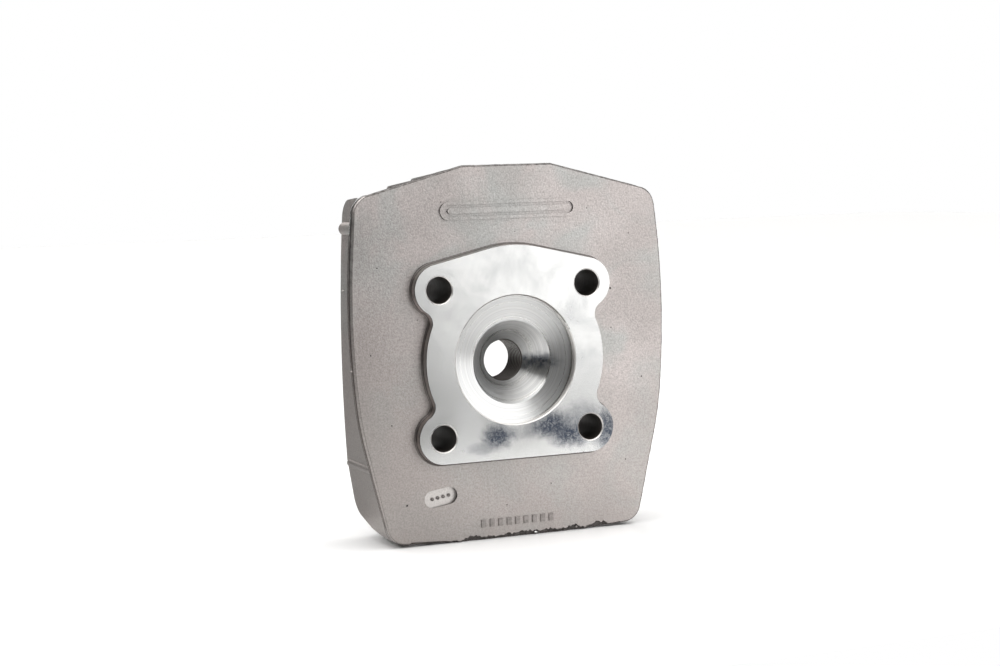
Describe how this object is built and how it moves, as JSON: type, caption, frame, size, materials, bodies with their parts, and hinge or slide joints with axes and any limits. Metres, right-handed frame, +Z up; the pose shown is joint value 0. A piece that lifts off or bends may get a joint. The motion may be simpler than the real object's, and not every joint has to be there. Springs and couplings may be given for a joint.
{
  "type": "cylinder head",
  "caption": "Air-cooled two-stroke cylinder head: finned plate, raised gasket pad with stud holes, squish chamber and spark plug boss.",
  "frame": {"origin": "centre of the four stud holes on the machined gasket face", "axes": "+Z up towards the flat top edge, +X to the right facing the gasket face, +Y from the gasket face back to the fin tips"},
  "size_m": [0.1062, 0.033, 0.1174],
  "materials": {
    "cast_aluminium": "die-cast, fine sandblasted grain",
    "milled_aluminium": "face-milled bright",
    "turned_aluminium": "turned bright, fine concentric marks"
  },
  "bodies": {
    "root": {"base_pips": "cast_aluminium", "combustion_dish": "turned_aluminium", "ejector_pad_lower_left": "cast_aluminium", "ejector_pad_lower_right": "cast_aluminium", "ejector_pad_upper_left": "cast_aluminium", "ejector_pad_upper_right": "cast_aluminium", "face_plate": "cast_aluminium", "fin_left_1_lower": "cast_aluminium", "fin_left_1_upper": "cast_aluminium", "fin_left_2_lower": "cast_aluminium", "fin_left_2_upper": "cast_aluminium", "fin_left_3_lower": "cast_aluminium", "fin_left_3_middle": "cast_aluminium", "fin_left_3_upper": "cast_aluminium", "fin_left_4_lower": "cast_aluminium", "fin_left_4_middle": "cast_aluminium", "fin_left_4_upper": "cast_aluminium", "fin_left_5": "cast_aluminium", "fin_right_1_lower": "cast_aluminium", "fin_right_1_upper": "cast_aluminium", "fin_right_2_lower": "cast_aluminium", "fin_right_2_upper": "cast_aluminium", "fin_right_3_lower": "cast_aluminium", "fin_right_3_middle": "cast_aluminium", "fin_right_3_upper": "cast_aluminium", "fin_right_4_lower": "cast_aluminium", "fin_right_4_middle": "cast_aluminium", "fin_right_4_upper": "cast_aluminium", "fin_right_5": "cast_aluminium", "gasket_pad": "milled_aluminium", "label_frame": "cast_aluminium", "plug_boss": "cast_aluminium", "pocket_pips": "cast_aluminium", "side_wall_left": "cast_aluminium", "side_wall_right": "cast_aluminium", "stud_column_lower_left": "cast_aluminium", "stud_column_lower_right": "cast_aluminium", "stud_column_upper_left": "cast_aluminium", "stud_column_upper_right": "cast_aluminium"}
  },
  "joints": []
}
